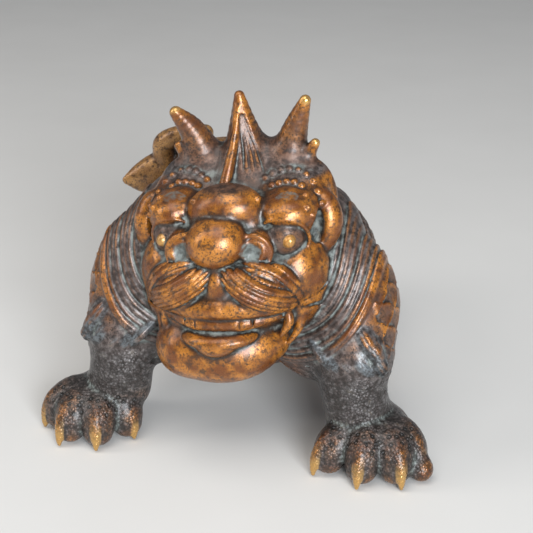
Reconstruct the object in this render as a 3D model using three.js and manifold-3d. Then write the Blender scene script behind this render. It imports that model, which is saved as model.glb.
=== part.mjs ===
// A crouching guardian beast cast in bronze, built from the separate castings that a
// foundry would braze and pin together: hollow torso and head shells, lower jaw, horns,
// ears, eyes, four legs, four paws, a two-piece tail, and the pins that hold them.
//
// Millimetres, +Z up. The beast faces -Y and its own left side is +X. The origin is on the
// floor, under the middle of the whole object's box.

import * as THREE from "three";
import { mergeVertices } from "three/addons/utils/BufferGeometryUtils.js";
import Module from "manifold-3d";

const wasm = await Module();
wasm.setup();

// ---- Driving dimensions ----
const WALL = 5; // wall of the hollow castings
const GAP = 0.3; // braze film left between neighbouring castings
const FACE_LEAN = 0.09; // rise of the face towards the beast's left side, per millimetre
const FLOOR_MIDDLE_Y = 75.4; // middle of the whole length, measured back from the claws

// Lumps of the hollow castings: centre and radii. A lump with "pair" is repeated at -X.
const TORSO_LUMPS = [
  { at: [0, 52, 57], radii: [44, 38, 37] }, // chest and withers
  { at: [33, 28, 62], radii: [28, 19, 35], pair: true }, // mane over each shoulder
  { at: [0, 92, 50], radii: [38, 46, 33] }, // barrel
  { at: [0, 124, 44], radii: [36, 28, 28] }, // rump
];
const HEAD_LUMPS = [
  { at: [0, 36, 80], radii: [37, 34, 35] }, // skull
  { at: [1, 31, 108], radii: [25, 13, 12] }, // crown under the horns
  { at: [25, 15, 69], radii: [12.5, 13, 15], pair: true }, // cheeks
  { at: [0, 8, 69], radii: [29, 21, 18] }, // muzzle
  { at: [0, 6, 105.5], radii: [13.5, 9.5, 9] }, // boss over the nose
  { at: [22, 10, 105], radii: [12, 10, 8.5], pair: true }, // brow lobes
  { at: [-1, -3, 95.5], radii: [11.5, 11, 10.5] }, // nose ball
  { at: [13.5, 3, 91], radii: [8, 8, 7.5], pair: true }, // nostril wings
  { at: [13, -3, 80], radii: [16, 9, 9], pair: true }, // whisker pads
];
const JAW_LUMPS = [
  { at: [0, 9, 52], radii: [28, 22, 14] }, // jaw bone
  { at: [0, -1, 48], radii: [18, 12, 10] }, // chin
  { at: [0, -6, 58], radii: [14, 8, 4.5] }, // lower lip
];
const MOUTH_HEIGHT = 65; // plane of the mouth opening, on the beast's centre line
const JAW_BACK = 30; // the jaw casting ends here

const NECK_OPENING = { from: [0, 44, 68], to: [0, 120, 68], radius: 23 };
const BELLY_OPENING = { at: [0, 92], radii: [24, 34], top: 40 };

const CROWN_HORN = { path: [[0, 30, 104], [0, 30, 116], [0, 29, 130], [0, 28, 142]], radii: [12, 8, 4.6, 1.5] };
const LEFT_HORN = { path: [[15, 32, 108], [17.5, 31, 119], [21, 29, 131], [25, 27, 142]], radii: [8.5, 6.5, 4.6, 2.2],
  spur: [[20, 30, 116], [28.5, 27, 126]] };
const RIGHT_HORN = { path: [[-13, 32, 106], [-15, 30, 117], [-19, 28, 127], [-24, 26, 134]], radii: [8.5, 6.5, 5, 2.6],
  spur: [[-17, 30, 114], [-23.5, 27, 119.5]] };
const SPUR_RADII = [4, 1.7];
const EAR = { at: [35, 13, 96], radii: [5, 7, 11], tilt: 0.2 };
const EYE = { at: [22.5, 6, 93.5], radius: 7, pupil: 2.3, stem: 2.5, stem_length: 12 };

const FORELEG = { path: [[44, 25, 62], [47.5, 20, 46], [48.5, 15, 24]], radii: [18, 15, 12.5] };
const HIND_LEG = { thigh: [27, 113, 38], thigh_radii: [13, 26, 20], hock: [32, 112, 24], foot: [32, 103, 16],
  radii: [13, 10] };
const ANKLE_HEIGHT = 22; // the paws part from the legs on this plane

// Toes fan out from the palm: heading of each toe from straight ahead, outwards positive.
const FOREPAW = { palm: [57.5, 20], reach: 26.5, size: 1, fan: [-60, -15, 24, 60] };
const HIND_PAW = { palm: [32, 103], reach: 23, size: 0.86, fan: [-42, -12, 14, 40] };
const PALM = { radii: [15, 17, 14], height: 12 };
const TOE = { root_radius: 9, knuckle_radius: 8, knuckle_height: 11.5, pad_radius: 5.4, pad_height: 5 };
const CLAW = { root_radius: 3.2, tip_radius: 1 };

const TAIL_STEM = { path: [[0, 143, 50], [-8, 156, 62], [-27, 155, 74], [-44, 140, 79], [-53, 126, 78]],
  radii: [9, 8.5, 7.5, 6.8, 6.2] };
const TAIL_CURL = { path: [[-57, 119, 78], [-61, 114, 86], [-56, 112, 93.5], [-48, 112, 97.5], [-40, 112, 97.5]],
  radii: [5.6, 5, 4.6, 4, 3.6] };
const TAIL_LEAF = { path: [[-57, 119, 77], [-68, 113, 73], [-77, 109, 73.5]], radii: [6, 7.5, 2.4] };
const TAIL_BUD = { path: [[-53, 117, 82], [-43, 115, 87], [-33, 113, 92]], radii: [4.5, 4.5, 3.2] };

const PIN_RADIUS = 2;
const ANKLE_PIN_REACH = 9; // each way from the ankle plane
const UPPER_NECK_PIN = [[0, 63, 83], [0, 75, 83]];
const SIDE_NECK_PIN = [[29.5, 25, 86], [50.5, 25, 86]];
const JAW_PIN = [[20, 12, 58], [20, 12, 73]];
const TAIL_PIN = [[-50, 130, 78.5], [-58, 118, 78.5]];

// ---- Solids ----

/** Even number of facets round a lump of this radius. */
const facets = (radius) => 2 * Math.round(3 + radius / 9);

/** Turns a closed three.js geometry into a manifold solid, once a matrix has placed it. */
function solidOf(geometry, matrix = new THREE.Matrix4()) {
  const bare = geometry.index ? geometry.toNonIndexed() : geometry.clone();
  bare.deleteAttribute("normal");
  bare.deleteAttribute("uv");
  bare.applyMatrix4(matrix);
  const merged = mergeVertices(bare, 1e-3);
  const corners = Array.from(merged.index.array);
  const kept = [];
  for (let i = 0; i < corners.length; i += 3) {
    const [a, b, c] = corners.slice(i, i + 3);
    if (a !== b && b !== c && c !== a) kept.push(a, b, c);
  }
  const vertProperties = merged.attributes.position.array;
  return new wasm.Manifold(new wasm.Mesh({ numProp: 3, vertProperties, triVerts: new Uint32Array(kept) }));
}

/** Turns a manifold solid back into a three.js geometry with flat shading. */
function geometryOf(solid) {
  const mesh = solid.getMesh();
  const positions = new Float32Array(mesh.numVert * 3);
  for (let i = 0; i < mesh.numVert; i++) {
    const start = i * mesh.numProp;
    positions.set(mesh.vertProperties.subarray(start, start + 3), i * 3);
  }
  const geometry = new THREE.BufferGeometry()
    .setAttribute("position", new THREE.BufferAttribute(positions, 3))
    .setIndex(new THREE.BufferAttribute(mesh.triVerts, 1))
    .toNonIndexed();
  geometry.computeVertexNormals();
  return geometry;
}

const union = (solids) => solids.reduce((whole, solid) => whole.add(solid));
const onSide = (side, [x, ...rest]) => [side * x, ...rest];

/** An ellipsoid with its poles up and down, tilted about the Y axis through its centre. */
function ellipsoid(at, radii, tilt = 0) {
  const sides = facets(Math.max(...radii));
  const ball = new THREE.SphereGeometry(1, sides, Math.round(sides * 0.6));
  ball.rotateX(Math.PI / 2);
  const matrix = new THREE.Matrix4().compose(
    new THREE.Vector3(...at),
    new THREE.Quaternion().setFromEuler(new THREE.Euler(0, tilt, 0)),
    new THREE.Vector3(...radii),
  );
  return solidOf(ball, matrix);
}

/** Carries a profile turned about +Y to the line between two points. */
function alongLine(geometry, from, to) {
  const start = new THREE.Vector3(...from);
  const heading = new THREE.Vector3(...to).sub(start).normalize();
  const turn = new THREE.Quaternion().setFromUnitVectors(new THREE.Vector3(0, 1, 0), heading);
  return solidOf(geometry, new THREE.Matrix4().compose(start, turn, new THREE.Vector3(1, 1, 1)));
}

const distance = (from, to) => new THREE.Vector3(...from).distanceTo(new THREE.Vector3(...to));

/** A limb between two points: a turned profile with a round end of its own radius at each. */
function limb(from, to, startRadius, endRadius) {
  const length = distance(from, to);
  const arc = (radius, centre, angles) =>
    angles.map((degrees) => {
      const angle = THREE.MathUtils.degToRad(degrees);
      return new THREE.Vector2(radius * Math.cos(angle), centre + radius * Math.sin(angle));
    });
  const profile = [
    new THREE.Vector2(0, -startRadius),
    ...arc(startRadius, 0, [-45, 0]),
    ...arc(endRadius, length, [0, 45]),
    new THREE.Vector2(0, length + endRadius),
  ];
  return alongLine(new THREE.LatheGeometry(profile, facets(Math.max(startRadius, endRadius))), from, to);
}

/** Limbs end to end along a path, as one solid, each radius changed by "grow". */
function chain(path, radii, grow = 0) {
  return union(path.slice(1).map((point, i) => limb(path[i], point, radii[i] + grow, radii[i + 1] + grow)));
}

/** A cylinder with flat ends between two points, its radius changed by "grow". */
function rod(from, to, radius, grow = 0) {
  const length = distance(from, to);
  const cylinder = new THREE.CylinderGeometry(radius + grow, radius + grow, length + 2 * grow, facets(radius));
  cylinder.translate(0, length / 2, 0);
  return alongLine(cylinder, from, to);
}

/** A box between two opposite corners. */
function block(low, high) {
  const size = high.map((value, i) => value - low[i]);
  const box = new THREE.BoxGeometry(...size);
  box.translate(...low.map((value, i) => value + size[i] / 2));
  return solidOf(box);
}

const FAR = 200; // reaches past the whole beast
const below = (height) => block([-FAR, -FAR, -FAR], [FAR, FAR, height]);
const above = (height) => block([-FAR, -FAR, height], [FAR, FAR, FAR]);

/** All lumps of a casting in one solid, each radius changed by "grow". */
function lumps(list, grow = 0) {
  return union(
    list.flatMap(({ at, radii, pair }) => {
      const grown = radii.map((radius) => radius + grow);
      return (pair ? [at, onSide(-1, at)] : [at]).map((centre) => ellipsoid(centre, grown));
    }),
  );
}

/** Slides a solid of the face up or down by its distance from the centre line. */
function leaned(solid) {
  const shear = new THREE.Matrix4().set(1, 0, 0, 0, 0, 1, 0, 0, FACE_LEAN, 0, 1, 0, 0, 0, 0, 1);
  return solidOf(geometryOf(solid), shear);
}

// ---- Legs and paws ----

function foreleg(side, grow = 0) {
  const path = FORELEG.path.map((point) => onSide(side, point));
  return chain(path, FORELEG.radii, grow).subtract(below(ANKLE_HEIGHT + GAP / 2 - grow));
}

function hindLeg(side, grow = 0) {
  const { thigh, thigh_radii, hock, foot, radii } = HIND_LEG;
  const haunch = ellipsoid(onSide(side, thigh), thigh_radii.map((radius) => radius + grow));
  const shank = limb(onSide(side, hock), onSide(side, foot), radii[0] + grow, radii[1] + grow);
  return haunch.add(shank).subtract(below(ANKLE_HEIGHT + GAP / 2 - grow));
}

/** A palm with toes fanned out in front of it, each with a knuckle and a hooked claw, flat underneath. */
function paw(side, { palm, reach, size, fan }) {
  const toes = fan.map((degrees) => {
    const heading = THREE.MathUtils.degToRad(degrees);
    const along = (forward, height) => [
      side * (palm[0] + Math.sin(heading) * forward),
      palm[1] - Math.cos(heading) * forward,
      height * size,
    ];
    const toe = chain(
      [along(0, PALM.height), along(reach * 0.42, TOE.knuckle_height), along(reach * 0.68, TOE.pad_height)],
      [TOE.root_radius * size, TOE.knuckle_radius * size, TOE.pad_radius * size],
    );
    const claw = chain(
      [along(reach * 0.7, TOE.knuckle_height), along(reach, 0.8)],
      [CLAW.root_radius * size, CLAW.tip_radius],
    );
    return toe.add(claw);
  });
  const heel = ellipsoid(
    [side * (palm[0] - 2), palm[1] + 2, PALM.height * size],
    PALM.radii.map((radius) => radius * size),
  );
  return union([heel, ...toes]).subtract(below(0)).subtract(above(ANKLE_HEIGHT - GAP / 2));
}

/** The two ends of an ankle pin, which runs up through the paw into the leg. */
const anklePin = ([x, y]) => [
  [x, y, ANKLE_HEIGHT - ANKLE_PIN_REACH],
  [x, y, ANKLE_HEIGHT + ANKLE_PIN_REACH],
];

// ---- Horns, ears, eyes and tail ----

function horn({ path, radii, spur }, grow = 0) {
  const stem = chain(path, radii, grow);
  return spur ? stem.add(limb(...spur, SPUR_RADII[0] + grow, SPUR_RADII[1] + grow)) : stem;
}

const ear = (side, grow = 0) =>
  ellipsoid(onSide(side, EAR.at), EAR.radii.map((radius) => radius + grow), side * EAR.tilt);

/** An eyeball with a raised pupil and a stem that plugs into the head. */
function eye(side, grow = 0) {
  const [x, y, z] = [side * EYE.at[0], EYE.at[1], EYE.at[2] + FACE_LEAN * side * EYE.at[0]];
  const ballRadii = [EYE.radius + grow, EYE.radius + grow, EYE.radius + grow];
  return ellipsoid([x, y, z], ballRadii)
    .add(ellipsoid([x + side, y - EYE.radius, z - 1], [EYE.pupil, EYE.pupil, EYE.pupil]))
    .add(rod([x, y, z], [x, y + EYE.stem_length, z], EYE.stem, grow));
}

const tailPiece = ({ path, radii }, grow = 0) => chain(path, radii, grow);

// ---- Head and torso shells ----
const faceLumps = [...HEAD_LUMPS, ...JAW_LUMPS];
const headWhole = leaned(lumps(faceLumps));
const jawRegion = (grow) => leaned(block([-60, -40, 0], [60, JAW_BACK + grow, MOUTH_HEIGHT + grow]));
const skullHollow = leaned(ellipsoid(HEAD_LUMPS[0].at, HEAD_LUMPS[0].radii.map((radius) => radius - WALL)));
const neckOpening = rod(NECK_OPENING.from, NECK_OPENING.to, NECK_OPENING.radius);
const bellyOpening = solidOf(
  new THREE.CylinderGeometry(1, 1, 1, facets(BELLY_OPENING.radii[1])).rotateX(Math.PI / 2),
  new THREE.Matrix4().compose(
    new THREE.Vector3(...BELLY_OPENING.at, BELLY_OPENING.top / 2),
    new THREE.Quaternion(),
    new THREE.Vector3(...BELLY_OPENING.radii, BELLY_OPENING.top),
  ),
);

const SIDES = [["left", 1], ["right", -1]];
const PAIRED_PINS = {
  neck_pin: SIDE_NECK_PIN,
  jaw_pin: JAW_PIN,
  fore_ankle_pin: anklePin(FORELEG.path[2]),
  hind_ankle_pin: anklePin(HIND_LEG.foot),
};
const pinEnds = { upper_neck_pin: UPPER_NECK_PIN, tail_pin: TAIL_PIN };
for (const [word, side] of SIDES) {
  for (const [name, ends] of Object.entries(PAIRED_PINS)) {
    pinEnds[`${word}_${name}`] = ends.map((end) => onSide(side, end));
  }
}

/** Cuts the listed pieces out of a solid, then drills the holes of all the pins. */
function fitted(solid, cutters = []) {
  const holes = Object.values(pinEnds).map(([from, to]) => rod(from, to, PIN_RADIUS, GAP));
  return [...cutters, ...holes].reduce((rest, cutter) => rest.subtract(cutter), solid);
}

const headRoom = leaned(lumps(faceLumps, GAP));
const earsAndEyes = SIDES.flatMap(([, side]) => [ear(side, GAP), eye(side, GAP)]);
const headShell = fitted(headWhole, [
  jawRegion(GAP),
  skullHollow,
  neckOpening,
  ...[CROWN_HORN, LEFT_HORN, RIGHT_HORN].map((spec) => horn(spec, GAP)),
  ...earsAndEyes,
]);
const torsoShell = fitted(lumps(TORSO_LUMPS), [
  lumps(TORSO_LUMPS, -WALL),
  bellyOpening,
  headRoom,
  tailPiece(TAIL_STEM, GAP),
  ...earsAndEyes,
  ...SIDES.flatMap(([, side]) => [foreleg(side, GAP), hindLeg(side, GAP)]),
]);

// ---- Assembly ----
const BRONZE = { metalness: 0.85, roughness: 0.42 };
const AMBER = 0x8a4a1c;
const UMBER = 0x5a3a24;
const VERDIGRIS = 0x4c4a40;
const BRASS = 0xc08a3c;

const statue = new THREE.Group();
statue.position.y = -FLOOR_MIDDLE_Y;

function addPiece(name, solid, color) {
  const mesh = new THREE.Mesh(geometryOf(solid), new THREE.MeshStandardMaterial({ color, ...BRONZE }));
  mesh.name = name;
  statue.add(mesh);
}

addPiece("torso_shell", torsoShell, UMBER);
addPiece("head_shell", headShell, AMBER);
addPiece("lower_jaw", fitted(headWhole.intersect(jawRegion(0)), [skullHollow]), AMBER);
addPiece("crown_horn", horn(CROWN_HORN), UMBER);
addPiece("left_horn", horn(LEFT_HORN).subtract(horn(CROWN_HORN, GAP)), UMBER);
addPiece("right_horn", horn(RIGHT_HORN).subtract(horn(CROWN_HORN, GAP)), UMBER);
for (const [word, side] of SIDES) {
  addPiece(`${word}_ear`, ear(side), AMBER);
  addPiece(`${word}_eye`, eye(side), BRASS);
  addPiece(`${word}_foreleg`, fitted(foreleg(side), [headRoom]), UMBER);
  addPiece(`${word}_forepaw`, fitted(paw(side, FOREPAW)), VERDIGRIS);
  addPiece(`${word}_hind_leg`, fitted(hindLeg(side)), UMBER);
  addPiece(`${word}_hind_paw`, fitted(paw(side, HIND_PAW)), VERDIGRIS);
}
addPiece("tail_stem", fitted(tailPiece(TAIL_STEM)), BRASS);
const stemRoom = tailPiece(TAIL_STEM, GAP);
const curlRoom = tailPiece(TAIL_CURL, GAP).add(tailPiece(TAIL_BUD, GAP));
addPiece("tail_curl", fitted(tailPiece(TAIL_CURL).add(tailPiece(TAIL_BUD)), [stemRoom]), BRASS);
addPiece("tail_leaf", fitted(tailPiece(TAIL_LEAF), [stemRoom, curlRoom]), BRASS);
for (const [name, [from, to]] of Object.entries(pinEnds)) addPiece(name, rod(from, to, PIN_RADIUS), BRASS);

export default statue;
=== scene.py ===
"""A crouching horned guardian beast in patinated bronze, sculpted over its castings.

Sculpting is done in millimetres: x towards the beast's left, y backwards from the line of its
foreclaws, z up from the floor. Every finished mesh is put into metres in the frame's own place.
"""

import bpy
import numpy as np
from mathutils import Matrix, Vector


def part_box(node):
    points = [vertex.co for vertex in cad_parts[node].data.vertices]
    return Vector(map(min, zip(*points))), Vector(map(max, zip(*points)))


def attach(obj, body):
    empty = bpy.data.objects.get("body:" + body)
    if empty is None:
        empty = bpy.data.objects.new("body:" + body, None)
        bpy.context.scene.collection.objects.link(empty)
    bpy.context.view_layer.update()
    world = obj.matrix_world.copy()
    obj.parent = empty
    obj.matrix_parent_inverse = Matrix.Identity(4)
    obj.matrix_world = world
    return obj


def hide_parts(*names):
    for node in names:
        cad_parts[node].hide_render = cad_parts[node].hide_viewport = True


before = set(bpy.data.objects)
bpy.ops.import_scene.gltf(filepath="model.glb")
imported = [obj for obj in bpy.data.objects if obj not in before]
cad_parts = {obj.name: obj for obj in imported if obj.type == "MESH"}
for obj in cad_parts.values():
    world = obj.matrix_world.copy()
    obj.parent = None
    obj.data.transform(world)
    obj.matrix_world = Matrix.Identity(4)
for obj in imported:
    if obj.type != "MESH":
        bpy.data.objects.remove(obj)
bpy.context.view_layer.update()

MM = 0.001
CROWN_HORN_BACK = 30.0  # the crown horn stands this far behind the claw line
FACE_LEAN = 0.09  # rise of the face towards the beast's left side, per millimetre
RIGHT_HALF = 0.90  # width of the face's right half as part of its left half's
HEAD_STEP = 0.55  # sample spacing of the fore part
BODY_STEP = 0.75  # and of the hind part
FAR = 12.0  # distance written where nothing has been laid yet
ROPE_LINKS = 4  # straight links from each given point of a limb's path to the next


def node_box(node):
    """A casting's lowest and highest corner, in millimetres."""
    low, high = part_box(node)
    return np.array(low) / MM, np.array(high) / MM


horn_low, horn_high = node_box("crown_horn")
CLAW_LINE = np.array([0.0, (horn_low[1] + horn_high[1]) / 2 - CROWN_HORN_BACK, 0.0])


def to_row(points):
    """Sculpting millimetres to metres in the object's own frame."""
    return (np.asarray(points) + CLAW_LINE) * MM


# ---------------------------------------------------------------- clay: sampled distances


def soft_min(a, b, blend):
    """Smooth union: the smaller distance, dipped by (blend - |a - b|)^2 / 4 blend where they meet."""
    dip = np.maximum(blend - np.abs(a - b), 0.0)
    return np.minimum(a, b) - dip * dip * (0.25 / blend)


def soft_max(a, b, blend):
    """Smooth intersection: the mirror image of the smooth union."""
    return -soft_min(-a, -b, blend)


def smooth_ramp(low, high, value):
    """0 below low, 1 above high, 3t^2 - 2t^3 between."""
    t = np.clip((value - low) / (high - low), 0.0, 1.0)
    return t * t * (3.0 - 2.0 * t)


class Clay:
    """A block of space sampled on a cubic grid; each sample holds a distance, negative in metal."""

    def __init__(self, low, high, step):
        self.step = step
        self.low = np.array(low, float)
        counts = np.ceil((np.array(high, float) - self.low) / step).astype(int) + 1
        self.axes = [(self.low[i] + step * np.arange(counts[i])).astype(np.float32) for i in range(3)]
        self.depth = np.full(counts, FAR, np.float32)

    def window(self, low, high):
        """The samples between two corners: their slices, and their x, y and z as thin arrays."""
        slices = []
        for axis, values in enumerate(self.axes):
            start = int(np.searchsorted(values, low[axis]))
            stop = int(np.searchsorted(values, high[axis], side="right"))
            slices.append(slice(start, max(stop, start)))
        x, y, z = (values[part] for values, part in zip(self.axes, slices))
        return tuple(slices), x[:, None, None], y[None, :, None], z[None, None, :]

    def join(self, shape, blend, rule, sign):
        """Brings a shape's distances, times sign, into the samples round it by a smooth rule."""
        low, high, distance = shape
        margin = blend + 2.0
        where, x, y, z = self.window(low - margin, high + margin)
        if self.depth[where].size:
            self.depth[where] = rule(self.depth[where], sign * distance(x, y, z), blend)

    def lay(self, shape, blend):
        """Adds a shape, blended into what is there."""
        self.join(shape, blend, soft_min, 1)

    def carve(self, shape, blend):
        """Takes a shape away, with a soft lip."""
        self.join(shape, blend, soft_max, -1)

    def chase(self, low, high, relief):
        """Moves the surface between two corners inwards by relief(x, y, z) millimetres."""
        where, x, y, z = self.window(np.array(low, float), np.array(high, float))
        part = self.depth[where]
        if part.size:
            near = np.clip(1.5 - np.abs(part) / 4.0, 0.0, 1.0)
            self.depth[where] = part + near * relief(x, y, z).astype(np.float32)

    def read(self, points, samples=None):
        """Samples at any points, by trilinear interpolation."""
        samples = self.depth if samples is None else samples
        place = (points - self.low) / self.step
        top = np.array(samples.shape) - 2
        cell = np.clip(np.floor(place).astype(int), 0, top)
        part = np.clip(place - cell, 0.0, 1.0)
        total = np.zeros(len(points))
        for corner in np.ndindex(2, 2, 2):
            weight = np.prod(np.where(corner, part, 1.0 - part), axis=1)
            at = cell + corner
            total += weight * samples[at[:, 0], at[:, 1], at[:, 2]]
        return total

    def slope(self, points):
        """Unit normals of the surface at any points, from central differences."""
        reach = 0.8 * self.step
        normal = np.empty_like(points)
        for axis in range(3):
            shift = np.zeros(3)
            shift[axis] = reach
            normal[:, axis] = self.read(points + shift) - self.read(points - shift)
        return normal / np.maximum(np.linalg.norm(normal, axis=1, keepdims=True), 1e-9)


def lump(at, radii, lean=0.0):
    """An ellipsoid: with p in radii, distance is about |p| (|p| - 1) / |p / radii|.

    lean lifts it by lean times x.
    """
    at = np.array(at, float)
    radii = np.array(radii, float)
    reach = radii + np.array([0, 0, abs(lean) * (abs(at[0]) + radii[0])])

    def distance(x, y, z):
        away = x - at[0], y - at[1], z - lean * x - at[2]
        k0 = np.sqrt(sum((d / r) ** 2 for d, r in zip(away, radii))) + 1e-6
        k1 = np.sqrt(sum((d / r**2) ** 2 for d, r in zip(away, radii))) + 1e-6
        return (k0 * (k0 - 1.0) / k1).astype(np.float32)

    return at - reach, at + reach, distance


def flowing(path, radii, steps):
    """A path and its radii run smoothly through their given points (Catmull-Rom).

    steps is how many points there are for each given one.
    """
    knots = np.column_stack([path, radii]).astype(float)
    padded = np.vstack([2 * knots[0] - knots[1], knots, 2 * knots[-1] - knots[-2]])
    t = np.linspace(0, 1, steps, endpoint=False)[:, None]
    spans = []
    for a, b, c, d in zip(padded, padded[1:], padded[2:], padded[3:]):
        spans.append(0.5 * (2 * b + (c - a) * t + (2 * a - 5 * b + 4 * c - d) * t**2
                            + (3 * b - a - 3 * c + d) * t**3))
    curve = np.vstack([*spans, knots[-1:]])
    return curve[:, :3], np.maximum(curve[:, 3], 0.2)


def rope(path, radii, lean=0.0, squash=1.0, grooves=None):
    """A round limb along a flowing path: distance to its nearest link less the radius there.

    squash flattens it in y. grooves = (pitch, depth) runs grooves along it, spaced across the path.
    """
    points, widths = flowing(path, radii, ROPE_LINKS)
    wide = widths.max()
    low = points.min(axis=0) - wide
    high = points.max(axis=0) + wide
    slack = abs(lean) * (np.abs(points[:, 0]).max() + wide)

    def distance(x, y, z):
        z = z - lean * x
        nearest = None
        across = None
        for a, b, ra, rb in zip(points, points[1:], widths, widths[1:]):
            link = b - a
            length = max(float(link @ link), 1e-9)
            dx, dy, dz = x - a[0], y - a[1], z - a[2]
            t = np.clip((dx * link[0] + dy * link[1] + dz * link[2]) / length, 0.0, 1.0)
            ox, oy, oz = dx - t * link[0], (dy - t * link[1]) / squash, dz - t * link[2]
            found = np.sqrt(ox * ox + oy * oy + oz * oz) - (ra + t * (rb - ra))
            if grooves:
                flat = max(float(np.hypot(link[0], link[2])), 1e-6)
                side = (ox * link[2] - oz * link[0]) / flat
                across = side if nearest is None else np.where(found < nearest, side, across)
            nearest = found if nearest is None else np.minimum(nearest, found)
        if grooves:
            pitch, depth = grooves
            nearest = nearest + depth * (0.5 - 0.5 * np.cos(2 * np.pi * across / pitch)) ** 4
        return nearest.astype(np.float32)

    low[2] -= slack
    high[2] += slack
    return low, high, distance


def both_sides(make, at, *rest, right=1.0, **options):
    """A shape and its mirror image, which stands right times as far from the middle.

    at is one point, or a list of points.
    """
    flip = np.array([-right, 1.0, 1.0])
    at = np.array(at, float)
    return [make(at, *rest, **options), make(at * flip, *rest, **options)]


def on_face(make, *values, **options):
    """A shape in the leaning face's own level."""
    return make(*values, lean=FACE_LEAN, **options)


def face_pair(make, at, *rest, right=RIGHT_HALF, **options):
    """A shape and its mirror image in the leaning face's own level, narrower on the right."""
    return both_sides(make, at, *rest, right=right, lean=FACE_LEAN, **options)


def settle(clay, places):
    """Moves each place back from in front of the face to where the surface starts."""
    backs = np.arange(-10.0, 50.0, 0.3)
    lines = np.repeat(places[:, None, :], len(backs), axis=1)
    lines[:, :, 1] = backs
    depths = clay.read(lines.reshape(-1, 3)).reshape(len(places), -1)
    first = np.argmax(depths < 0, axis=1)
    settled = places.copy()
    settled[:, 1] = backs[first]
    return settled


def near(shapes, points):
    """Distance from each point to the closest of some shapes."""
    x, y, z = points.T
    return np.min([shape[2](x, y, z) for shape in shapes], axis=0)


# ---------------------------------------------------------------- the beast's shapes

SIDES = (-1, 1)


def sided(side, *points):
    """Points of the beast's left half, on the side asked for."""
    return np.array(points, float) * np.array([side, 1.0, 1.0])


CROWN_HORN = rope([(2.5, 31, 102), (2.0, 31, 115), (0.6, 29.5, 128), (-0.6, 28, 141.5)],
                  [14, 10.2, 5.8, 2.0])
LEFT_HORN = rope([(14, 32, 106), (17.5, 31, 119), (20.8, 29, 131), (24.6, 27, 141.8)],
                 [9, 6.8, 4.6, 2.15])
LEFT_SPUR = rope([(21, 30, 114), (25.5, 28.5, 120.5), (28.6, 27, 125.8)], [5.2, 2.9, 1.8])
RIGHT_HORN = rope([(-13, 32, 106), (-15, 30, 117), (-19.5, 28, 127), (-24.8, 26, 133.8)],
                  [8.8, 6.8, 4.9, 2.5])
RIGHT_SPUR = rope([(-17, 30, 114), (-22, 28, 118), (-24.5, 27, 120.5)], [4.2, 2.8, 1.6])
HORN_TIPS = [lump((24.9, 26.5, 142.8), (2.2, 2.6, 2.2)), lump((-25.8, 25.8, 135.2), (2.8, 2.6, 1.8)),
             lump((29.2, 26.6, 126.8), (1.7, 1.8, 1.7))]

HORN_RIDGE = rope([(-3.0, 16.0, 111), (-2.2, 18.6, 117), (-1.4, 22.4, 125), (-1.0, 26.0, 137)],
                  [2.2, 1.9, 1.3, 0.8])
EYES = face_pair(lump, (21.8, 6.4, 94.8), (8.2, 8.2, 8.2))
PUPILS = face_pair(lump, (25.4, -0.7, 95.0), (2.2, 2.1, 2.4))
EARS = face_pair(rope, [(31, 18.5, 106), (34.6, 18, 102.5), (36.2, 17, 95.5), (34.6, 16.5, 88),
                        (32.5, 16, 85)], [3.0, 4.6, 5.4, 4.2, 2.0], right=0.95)
NOSE = on_face(lump, (-1, -3, 95.5), (11.6, 11, 10.2))
BOSS = on_face(lump, (0, 5.5, 105.8), (14, 10, 8.8))
BROWS = [on_face(lump, (22.0, 9.5, 103.4), (10.4, 10, 6.4)),
         on_face(lump, (-20.8, 9.5, 103.6), (9.0, 10, 6.6))]
BROW_ENDS = face_pair(lump, (27.8, 11.5, 100.2), (5.4, 8, 6.4))
BROW_PATCHES = face_pair(lump, (22.5, 7.0, 108.8), (4.6, 4.6, 2.6))
WINGS = [on_face(lump, (at, 0.5, 91.8), (8.0, 7.6, 8.0)) for at in (12.4, -13.6)]
WING_HOLLOWS = [on_face(lump, (13.4, -8.2, 93.2), (4.6, 3.6, 4.6)),
                on_face(lump, (-14.6, -8.2, 93.0), (4.2, 3.6, 4.4))]


class Face:
    """The head's clay, worked in the leaning face's own level, with pairs narrower on the right."""

    def __init__(self, clay):
        self.clay = clay

    def lay(self, make, *values, blend, **options):
        self.clay.lay(on_face(make, *values, **options), blend)

    def lay_all(self, shapes, blend):
        for shape in shapes:
            self.clay.lay(shape, blend)

    def pair(self, make, at, *rest, blend, **options):
        self.lay_all(face_pair(make, at, *rest, **options), blend)

    def carve_all(self, shapes, blend):
        for shape in shapes:
            self.clay.carve(shape, blend)

    def hollow(self, at, radii, blend):
        self.carve_all(face_pair(lump, at, radii), blend)

    def crease(self, path, radii, blend=0.8):
        self.carve_all(face_pair(rope, path, radii), blend)


def shape_skull(face):
    """Cranium, forehead, muzzle, jowls, cheeks and temples, with a hollow for each eye."""
    face.lay(lump, (1.0, 37, 80), (35, 34, 34), blend=1.5)
    face.lay(lump, (0, 31, 102), (27, 17, 14), blend=8)
    face.lay(lump, (-0.5, 9, 70), (27, 20, 17), blend=6)
    face.pair(lump, (24.5, 15, 69.5), (12.5, 13.5, 16), blend=5)
    face.pair(lump, (20, 12, 87), (13, 13, 9), blend=5)
    face.pair(lump, (26.0, 12, 80), (11.5, 14, 12), blend=5)
    face.pair(lump, (21.5, 18, 102.5), (12.5, 12.5, 8.4), blend=5)
    face.pair(lump, (21.5, 23, 105.5), (13.5, 9.5, 10.0), blend=3)
    face.hollow((21.5, -2, 97), (9.0, 11.5, 8.5), blend=4.0)


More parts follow.
